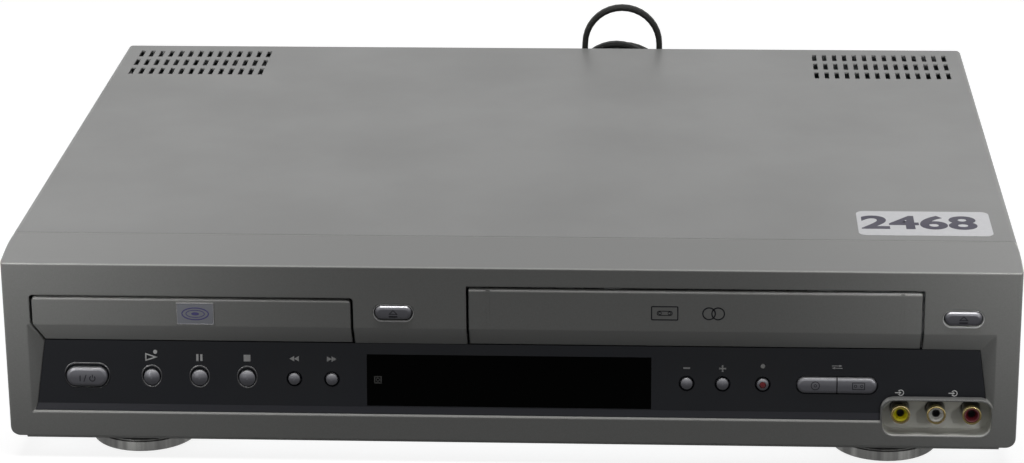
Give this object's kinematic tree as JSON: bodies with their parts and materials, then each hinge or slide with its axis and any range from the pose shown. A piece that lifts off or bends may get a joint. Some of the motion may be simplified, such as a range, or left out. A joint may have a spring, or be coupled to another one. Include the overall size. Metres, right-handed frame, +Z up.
{
  "type": "dvd vcr combo player",
  "caption": "Disc player and tape recorder in a grey case, with a disc tray, a cassette door, a dark control panel with push buttons, round front feet and a tied mains lead.",
  "frame": {"origin": "on the surface that the feet stand on, under the centre of the case with its buttons and sockets, without the mains lead", "axes": "+X to the viewer's right, +Y from the front to the back, +Z up"},
  "size_m": [0.4332, 0.3804, 0.1159],
  "materials": {
    "cover_paint": "satin",
    "bezel_plastic": "satin",
    "panel_plastic": "satin",
    "window_plastic": "gloss",
    "button_plastic": "satin metallic",
    "zinc_steel": "bright zinc",
    "screw_steel": "satin",
    "foot_plastic": "satin",
    "felt_pad": "felt",
    "board": "solder mask",
    "display_glass": "gloss",
    "gold_plate": "polished",
    "yellow_plastic": "gloss",
    "white_plastic": "gloss",
    "red_plastic": "gloss",
    "black_plastic": "matte",
    "tray_plastic": "matte",
    "gear_plastic": "satin",
    "drum_metal": "polished",
    "roller_rubber": "matte",
    "head_metal": "polished",
    "lead_jacket": "satin"
  },
  "bodies": {
    "case": {"top_cover": "cover_paint", "base_chassis": "zinc_steel", "rear_panel": "zinc_steel", "front_bezel": "bezel_plastic", "control_panel": "panel_plastic", "display_window": "window_plastic", "foot_bodies": "foot_plastic", "foot_pads": "felt_pad", "case_screws": "screw_steel", "front_board": "board", "display_tube": "display_glass", "jack_shells": "gold_plate", "video_jack_inserts": "yellow_plastic", "left_jack_inserts": "white_plastic", "right_jack_inserts": "red_plastic", "drive_frame": "black_plastic", "loading_motor": "zinc_steel", "clamp_bridge": "zinc_steel", "deck_plate": "zinc_steel", "lower_drum": "drum_metal", "fixed_heads": "head_metal", "main_board": "board", "power_board": "board", "rear_sockets": "black_plastic", "strain_relief": "lead_jacket", "mains_lead": "lead_jacket", "lead_coil": "lead_jacket", "mains_plug": "lead_jacket"},
    "tray": {"disc_tray": "tray_plastic", "tray_door": "bezel_plastic"},
    "tray_gear": {"tray_gear": "gear_plastic"},
    "pinion": {"motor_pinion": "gear_plastic"},
    "traverse": {"traverse": "zinc_steel"},
    "turntable": {"turntable": "black_plastic"},
    "sled": {"pickup_sled": "black_plastic"},
    "puck": {"clamp_puck": "gear_plastic"},
    "slides": {"holder_slides": "zinc_steel"},
    "holder": {"cassette_holder": "zinc_steel"},
    "tape_door": {"cassette_door": "bezel_plastic"},
    "drum": {"upper_drum": "drum_metal"},
    "supply_reel": {"supply_reel": "black_plastic"},
    "takeup_reel": {"takeup_reel": "black_plastic"},
    "capstan": {"capstan": "head_metal"},
    "pinch_arm": {"pinch_arm": "zinc_steel"},
    "pinch_roller": {"pinch_roller": "roller_rubber"},
    "supply_guide": {"supply_guide": "head_metal"},
    "takeup_guide": {"takeup_guide": "head_metal"},
    "power_button": {"power_button": "button_plastic"},
    "play_button": {"play_button": "button_plastic"},
    "pause_button": {"pause_button": "button_plastic"},
    "stop_button": {"stop_button": "button_plastic"},
    "rewind_button": {"rewind_button": "button_plastic"},
    "forward_button": {"forward_button": "button_plastic"},
    "channel_down_button": {"channel_down_button": "button_plastic"},
    "channel_up_button": {"channel_up_button": "button_plastic"},
    "record_button": {"record_button": "button_plastic"},
    "select_disc_button": {"select_disc_button": "button_plastic"},
    "select_tape_button": {"select_tape_button": "button_plastic"},
    "disc_eject_button": {"disc_eject_button": "button_plastic"},
    "tape_eject_button": {"tape_eject_button": "button_plastic"}
  },
  "joints": [
    {"name": "tray_slide", "type": "slide", "parent": "case", "child": "tray", "axis": [0, -1, 0], "range_m": [0, 0.14]},
    {"name": "tray_gear_spin", "type": "hinge", "parent": "case", "child": "tray_gear", "pos_m": [-0.17865, -0.1296, 0.054], "axis": [0, 0, 1], "range_deg": [0, 669]},
    {"name": "motor_pinion_spin", "type": "hinge", "parent": "case", "child": "pinion", "pos_m": [-0.15745, -0.1296, 0.054], "axis": [0, 0, 1], "range_deg": [-892, 0]},
    {"name": "traverse_tilt", "type": "hinge", "parent": "case", "child": "traverse", "pos_m": [-0.1345, -0.0006, 0.044], "axis": [1, 0, 0], "range_deg": [0, 6]},
    {"name": "turntable_spin", "type": "hinge", "parent": "traverse", "child": "turntable", "pos_m": [-0.1345, -0.0896, 0.056], "axis": [0, 0, 1], "continuous": true},
    {"name": "pickup_slide", "type": "slide", "parent": "traverse", "child": "sled", "axis": [0, 1, 0], "range_m": [0, 0.034]},
    {"name": "clamp_spin", "type": "hinge", "parent": "case", "child": "puck", "pos_m": [-0.1345, -0.0896, 0.069], "axis": [0, 0, 1], "continuous": true},
    {"name": "holder_in", "type": "slide", "parent": "case", "child": "slides", "axis": [0, 1, 0], "range_m": [0, 0.062]},
    {"name": "holder_drop", "type": "slide", "parent": "slides", "child": "holder", "axis": [0, 0, -1], "range_m": [0, 0.02]},
    {"name": "cassette_door_swing", "type": "hinge", "parent": "case", "child": "tape_door", "pos_m": [0.0785, -0.1606, 0.0832], "axis": [1, 0, 0], "range_deg": [0, 90], "stiffness_Nm_per_rad": 0.006, "springref_deg": -20.05},
    {"name": "drum_spin", "type": "hinge", "parent": "case", "child": "drum", "pos_m": [0.0745, 0.0394, 0.035], "axis": [0, 0.0872, 0.9962], "continuous": true},
    {"name": "supply_spin", "type": "hinge", "parent": "case", "child": "supply_reel", "pos_m": [0.0325, -0.0616, 0.03], "axis": [0, 0, 1], "continuous": true},
    {"name": "takeup_spin", "type": "hinge", "parent": "case", "child": "takeup_reel", "pos_m": [0.1245, -0.0616, 0.03], "axis": [0, 0, 1], "continuous": true},
    {"name": "capstan_spin", "type": "hinge", "parent": "case", "child": "capstan", "pos_m": [0.1365, 0.0044, 0.028], "axis": [0, 0, 1], "continuous": true},
    {"name": "pinch_swing", "type": "hinge", "parent": "case", "child": "pinch_arm", "pos_m": [0.1645, 0.0264, 0.03], "axis": [0, 0, -1], "range_deg": [0, 18], "stiffness_Nm_per_rad": 0.02},
    {"name": "pinch_roller_spin", "type": "hinge", "parent": "pinch_arm", "child": "pinch_roller", "pos_m": [0.15292, 0.00212, 0.04], "axis": [0, 0, 1], "continuous": true},
    {"name": "supply_guide_swing", "type": "hinge", "parent": "case", "child": "supply_guide", "pos_m": [0.0245, 0.0344, 0.029], "axis": [0, 0, 1], "range_deg": [0, 100]},
    {"name": "takeup_guide_swing", "type": "hinge", "parent": "case", "child": "takeup_guide", "pos_m": [0.1245, 0.0344, 0.029], "axis": [0, 0, 1], "range_deg": [-100, 0]},
    {"name": "power_press", "type": "slide", "parent": "case", "child": "power_button", "axis": [0, 0.9907, -0.1359], "range_m": [0, 0.0008], "stiffness_N_per_m": 250, "springref_m": -0.0004},
    {"name": "play_press", "type": "slide", "parent": "case", "child": "play_button", "axis": [0, 0.9907, -0.1359], "range_m": [0, 0.0008], "stiffness_N_per_m": 250, "springref_m": -0.0004},
    {"name": "pause_press", "type": "slide", "parent": "case", "child": "pause_button", "axis": [0, 0.9907, -0.1359], "range_m": [0, 0.0008], "stiffness_N_per_m": 250, "springref_m": -0.0004},
    {"name": "stop_press", "type": "slide", "parent": "case", "child": "stop_button", "axis": [0, 0.9907, -0.1359], "range_m": [0, 0.0008], "stiffness_N_per_m": 250, "springref_m": -0.0004},
    {"name": "rewind_press", "type": "slide", "parent": "case", "child": "rewind_button", "axis": [0, 0.9907, -0.1359], "range_m": [0, 0.0008], "stiffness_N_per_m": 250, "springref_m": -0.0004},
    {"name": "forward_press", "type": "slide", "parent": "case", "child": "forward_button", "axis": [0, 0.9907, -0.1359], "range_m": [0, 0.0008], "stiffness_N_per_m": 250, "springref_m": -0.0004},
    {"name": "channel_down_press", "type": "slide", "parent": "case", "child": "channel_down_button", "axis": [0, 0.9907, -0.1359], "range_m": [0, 0.0008], "stiffness_N_per_m": 250, "springref_m": -0.0004},
    {"name": "channel_up_press", "type": "slide", "parent": "case", "child": "channel_up_button", "axis": [0, 0.9907, -0.1359], "range_m": [0, 0.0008], "stiffness_N_per_m": 250, "springref_m": -0.0004},
    {"name": "record_press", "type": "slide", "parent": "case", "child": "record_button", "axis": [0, 0.9907, -0.1359], "range_m": [0, 0.0008], "stiffness_N_per_m": 250, "springref_m": -0.0004},
    {"name": "select_disc_press", "type": "slide", "parent": "case", "child": "select_disc_button", "axis": [0, 0.9907, -0.1359], "range_m": [0, 0.0008], "stiffness_N_per_m": 250, "springref_m": -0.0004},
    {"name": "select_tape_press", "type": "slide", "parent": "case", "child": "select_tape_button", "axis": [0, 0.9907, -0.1359], "range_m": [0, 0.0008], "stiffness_N_per_m": 250, "springref_m": -0.0004},
    {"name": "disc_eject_press", "type": "slide", "parent": "case", "child": "disc_eject_button", "axis": [0, 1, 0], "range_m": [0, 0.0008], "stiffness_N_per_m": 250, "springref_m": -0.0004},
    {"name": "tape_eject_press", "type": "slide", "parent": "case", "child": "tape_eject_button", "axis": [0, 1, 0], "range_m": [0, 0.0008], "stiffness_N_per_m": 250, "springref_m": -0.0004}
  ],
  "couplings": [
    {"joint": "tray_gear_spin", "follows": "tray_slide", "rad_per_m": 83.333},
    {"joint": "motor_pinion_spin", "follows": "tray_slide", "rad_per_m": -111.11},
    {"joint": "takeup_guide_swing", "follows": "supply_guide_swing", "ratio": -1}
  ]
}
